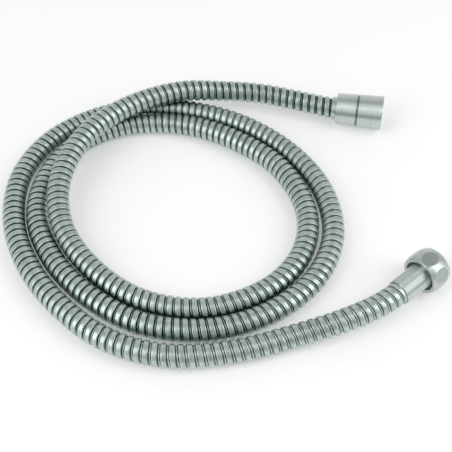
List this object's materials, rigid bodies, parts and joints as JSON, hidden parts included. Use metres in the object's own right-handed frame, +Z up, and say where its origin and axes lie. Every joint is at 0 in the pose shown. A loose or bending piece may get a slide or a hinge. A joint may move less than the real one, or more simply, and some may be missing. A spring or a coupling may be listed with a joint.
{
  "type": "flexible shower hose",
  "caption": "Wound metal shower hose in a loose coil, with a swivelling cone nut on one end and a swivelling hex nut on the other.",
  "frame": {"origin": "on the floor, under the middle of the bounding box of the whole coiled hose", "axes": "+X from the coil towards the two nuts, +Y from the hex nut towards the cone nut, +Z up"},
  "size_m": [0.2731, 0.2198, 0.0289],
  "materials": {
    "satin_nickel": "satin nickel plate with fine brushing round the hose",
    "tube_plastic": "smooth, matt, slightly milky",
    "insert_brass": "turned",
    "washer_rubber": "matt"
  },
  "bodies": {
    "hose": {"outer_casing": "satin_nickel", "inner_tube": "tube_plastic", "cone_end_ferrule": "satin_nickel", "cone_end_insert": "insert_brass", "cone_end_washer": "washer_rubber", "hex_end_ferrule": "satin_nickel", "hex_end_insert": "insert_brass", "hex_end_washer": "washer_rubber"},
    "handset_nut": {"cone_nut": "satin_nickel"},
    "valve_nut": {"hex_nut": "satin_nickel"}
  },
  "joints": [
    {"name": "cone_nut_swivel", "type": "hinge", "parent": "hose", "child": "handset_nut", "pos_m": [0.0783, 0.091, 0.01027], "axis": [0.9786, -0.2018, 0.0413], "continuous": true},
    {"name": "hex_nut_swivel", "type": "hinge", "parent": "hose", "child": "valve_nut", "pos_m": [0.1048, -0.0639, 0.012], "axis": [0.7615, 0.6481, 0], "continuous": true}
  ]
}
